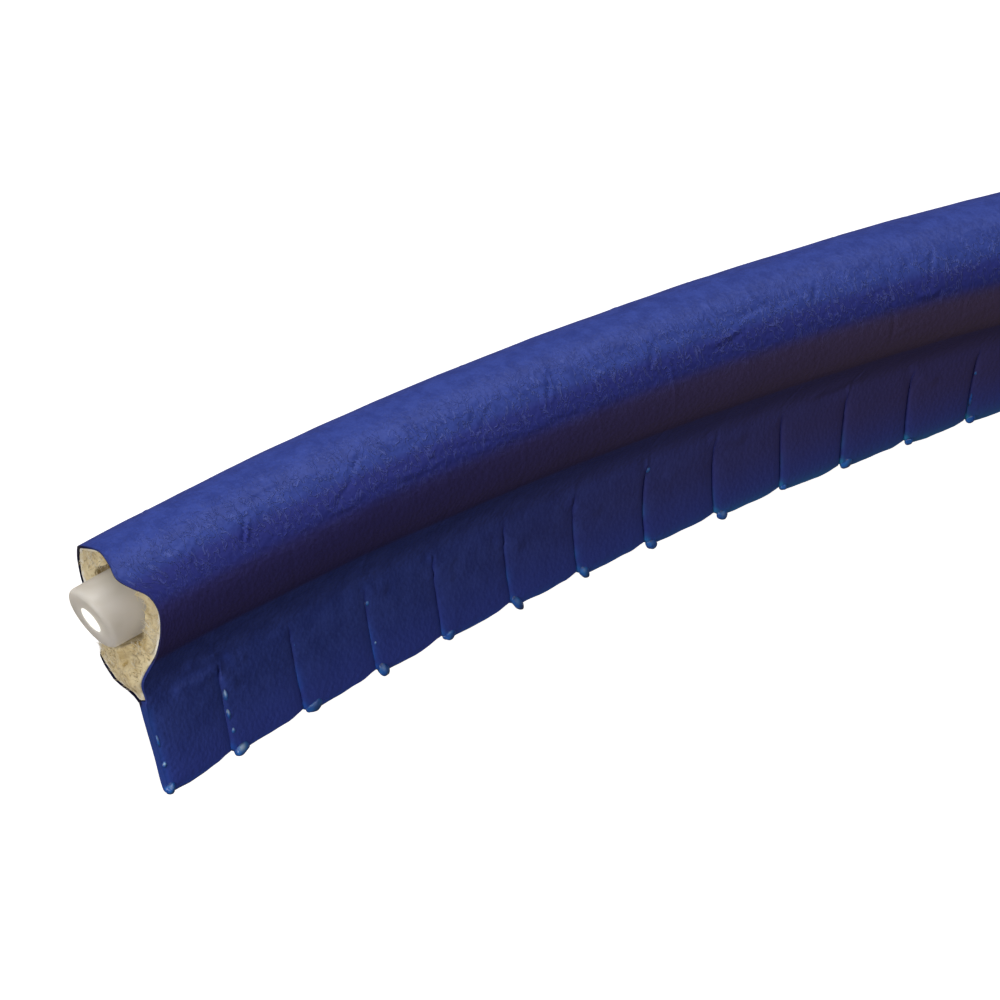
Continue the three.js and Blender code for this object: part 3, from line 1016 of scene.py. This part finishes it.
# The tube
def tube_shape(mesh, points):
    u, n, s = points.T.copy()
    radius = np.hypot(u, n)
    # Where the bore's painted glow goes: on the bore's wall, from just inside the near end
    painted_bore_glow = ease((BORE_RADIUS + 0.02 - radius) / 0.03) * ease((s - TUBE_START) / 0.06)
    keep_values(mesh, "finish_and_painted_light", np.stack((painted_bore_glow, painted_bore_glow, painted_bore_glow), 1))
    cut_near_end(points, -TUBE_SLANT * u)
    return bent(points)


def make_tube():
    soft = 0.4
    bore_soft = 0.08
    turn = np.radians(np.linspace(0, 90, 9))
    profile = [(BORE_RADIUS, s) for s in np.linspace(LENGTH, 1, 40)]
    profile += [(BORE_RADIUS, s) for s in (0, -0.3, TUBE_START + bore_soft)]
    profile += [
        (BORE_RADIUS + bore_soft * (1 - math.cos(a)), TUBE_START + bore_soft * (1 - math.sin(a)))
        for a in turn[1:]
    ]
    profile += [(radius, TUBE_START) for radius in (1.4, 1.8)]
    profile += [
        (TUBE_RADIUS - soft * (1 - math.sin(a)), TUBE_START + soft * (1 - math.cos(a)))
        for a in turn
    ]
    profile += [(TUBE_RADIUS, s) for s in np.linspace(TUBE_START + 1, LENGTH - 0.15, 70)]
    profile += [(TUBE_RADIUS - 0.05, LENGTH - 0.04)]
    profile += [(radius, LENGTH) for radius in (2.2, 1.8, 1.4, BORE_RADIUS + 0.05)]
    circle = np.linspace(0, 360, 73)[:-1]
    bm = ring_surface([ring(arc_points(radius, circle), s) for radius, s in profile])
    return finish_piece("hollow_tube", bm, tube_shape, tube_material())


# Melted vinyl along the slits, as slit, down, inward, long, wide, thick, tilt and painted highlight.
# Down: 0 at the slit's top, 1 at the flange's edge. Inward: how far into the tab. Long, wide and thick:
# half sizes in mm. Tilt: degrees that the lower end leans into the tab. Painted highlight: how strong the
# light patch painted on its top is.
MELT = [
    (0, 0.42, 0.12, 0.5, 0.12, 0.1, 0, 0.4),
    (0, 0.69, 0.14, 0.26, 0.24, 0.16, 20, 0.9),
    (0, 0.96, 0.14, 0.42, 0.42, 0.36, 10, 0.3),
    (1, 0.36, 0.24, 0.5, 0.2, 0.16, 4, 0.95),
    (1, 0.56, 0.24, 0.46, 0.17, 0.16, 4, 0.9),
    (1, 0.75, 0.36, 0.26, 0.22, 0.16, 10, 0.7),
    (1, 0.99, 0.75, 0.5, 0.62, 0.44, 10, 0.9),
    (2, 0.1, 0.3, 0.2, 0.12, 0.08, 0, 0.3),
    (2, 0.22, 0.2, 0.15, 0.1, 0.07, 0, 0.25),
    (2, 0.97, 0.8, 0.45, 0.75, 0.34, 14, 0.15),
    (3, 0.18, 0.15, 0.2, 0.18, 0.08, 0, 0.35),
    (3, 0.65, 0.28, 0.17, 0.15, 0.1, 0, 0.9),
    (3, 0.98, 0.55, 0.64, 0.42, 0.34, 24, 0.3),
    (4, 0.97, 0.58, 0.42, 0.5, 0.3, 15, 0.05),
    (5, 0.27, 1.2, 0.1, 0.36, 0.06, 0, 0.25),
    (5, 0.98, 0.46, 0.74, 0.36, 0.34, 26, 0.2),
    (6, 0.97, 0.5, 0.6, 0.38, 0.32, 22, 0.2),
    (7, 0.09, 0.15, 0.22, 0.2, 0.08, 0, 0.2),
    (7, 0.7, 0.35, 0.3, 0.16, 0.08, 0, 0.0),
    (7, 1.0, 0.45, 0.5, 0.42, 0.32, 15, 0.1),
    (8, 0.28, 0.5, 0.3, 0.2, 0.06, 0, 0.0),
    (8, 1.0, 0.6, 0.5, 0.46, 0.32, 20, 0.25),
    (9, 0.95, 0.35, 0.3, 0.36, 0.3, 0, 0.0),
    (10, 0.95, 0.5, 0.5, 0.52, 0.32, 20, 0.05),
    (11, 0.96, 0.35, 0.35, 0.36, 0.3, 10, 0.0),
    (12, 0.33, 0.15, 0.2, 0.14, 0.1, 0, 0.1),
    (12, 0.68, 0.15, 0.6, 0.14, 0.1, 0, 0.0),
    (12, 0.96, 0.45, 0.4, 0.42, 0.3, 10, 0.0),
    (13, 0.98, 0.5, 0.45, 0.45, 0.3, 15, 0.1),
    (14, 0.5, 0.25, 0.3, 0.13, 0.08, 5, 0.2),
    (14, 0.97, 0.45, 0.55, 0.4, 0.32, 20, 0.15),
    (15, 0.97, 0.5, 0.4, 0.45, 0.3, 10, 0.1),
]
MELT_AT_EDGE = 0.9  # from here down, a bead hangs at the flange's edge and blends in at its top only


def make_melt():
    bm = bmesh.new()
    tabs = []
    finish_and_painted_light = []
    border = []
    for i, (slit, down, inward, long, wide, thick, tilt, painted_highlight_strength) in enumerate(MELT):
        u = -SLIT_TOP - down * (FLANGE_EDGE - SLIT_TOP)
        slit_side = SLIT_HALF_TOP + (SLIT_HALF_EDGE - SLIT_HALF_TOP) * down
        s = slit * PITCH + slit_side + inward * 1.2 + 0.06
        n = FLANGE_HALF * 0.8 - thick * 0.5
        shift = Vector((i * 3.1, i * 1.7, 0))
        turn = Matrix.Rotation(math.radians(tilt), 3, "Y")
        for vert in bmesh.ops.create_icosphere(bm, subdivisions=4, radius=1)["verts"]:
            lump = 1 + 0.2 * noise.noise(vert.co * 1.1 + shift)
            # Painted highlight: a light patch on the bead's upper side
            painted_highlight = painted_highlight_strength * math.exp(-((vert.co.x - 0.4) ** 2 + (vert.co.z + 0.15) ** 2) / 0.14)
            # The second value lets the material paint shade on the bead's lower side
            finish_and_painted_light.append((painted_highlight, -vert.co.x, 0))
            from_middle = vert.co.x ** 2 + vert.co.z ** 2
            border.append((from_middle if down < MELT_AT_EDGE else max(0, vert.co.x), 0, 0))
            vert.co = Vector((u, n, s)) + turn @ (Vector((long, thick, wide)) * lump * vert.co)
            tabs.append(slit)

    def shape(mesh, points):
        keep_values(mesh, "finish_and_painted_light", finish_and_painted_light)
        keep_values(mesh, "shade", border)
        return bent(points, np.array(tabs))

    return finish_piece("melted_beads", bm, shape, melt_material(), 180)


# The pieces
cover = make_cover()
knit = make_knit()
tube = make_tube()
fibres = make_fibres()
make_melt()
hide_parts("cover_skin")
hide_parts("knit_backing")
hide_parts("core_tube")

# Floor, light and camera
bm = bmesh.new()
bmesh.ops.create_grid(bm, x_segments=1, y_segments=1, size=3)
floor_mesh = bpy.data.meshes.new("floor")
bm.to_mesh(floor_mesh)
bm.free()
floor_mesh.materials.append(floor_material())
floor = bpy.data.objects.new("floor", floor_mesh)
bpy.context.scene.collection.objects.link(floor)
floor.visible_diffuse = False
floor.visible_glossy = False


def soft_light(name, place, aim, size, power, colour):
    light = bpy.data.lights.new(name, "AREA")
    light.shape = "RECTANGLE"
    light.size, light.size_y = size
    light.energy = power
    light.color = colour
    lamp = bpy.data.objects.new(name, light)
    lamp.location = place
    lamp.rotation_euler = (Vector(aim) - Vector(place)).to_track_quat("-Z", "Y").to_euler()
    bpy.context.scene.collection.objects.link(lamp)


soft_light("key", (0, 1, 0.12), (0, 0, 0.005), (1.4, 0.22), 10, (1, 0.99, 0.96))
soft_light("fill", (0, 0.5, 0.9), (0, 0, 0.005), (0.9, 0.35), 2.4, (1, 0.98, 0.96))
soft_light("end", (-0.9, 0.05, 0.2), (0, 0, 0.005), (0.35, 0.35), 4, (0.96, 0.98, 1))

world = bpy.data.worlds.new("studio")
world.use_nodes = True
world.node_tree.nodes["Background"].inputs["Color"].default_value = (1, 0.75, 0.55, 1)
world.node_tree.nodes["Background"].inputs["Strength"].default_value = 0.15
bpy.context.scene.world = world
bpy.context.scene.view_settings.view_transform = "Standard"

CAMERA_RIGHT = (0.83314, -0.15338, 0.53137)
CAMERA_UP = (0.29052, 0.93892, -0.18447)
CAMERA_BACK = (-0.47062, 0.30806, 0.82681)
CAMERA_PLACE = Vector((-181.916, 107.505, 291.75)) * MM
camera = bpy.data.objects.new("camera", bpy.data.cameras.new("camera"))
camera.data.sensor_width = 36
camera.data.lens = 180.21
turned = Matrix((CAMERA_RIGHT, CAMERA_UP, CAMERA_BACK)).transposed().to_4x4()
camera.matrix_world = Matrix.Translation(CAMERA_PLACE) @ turned
bpy.context.scene.collection.objects.link(camera)
bpy.context.scene.camera = camera
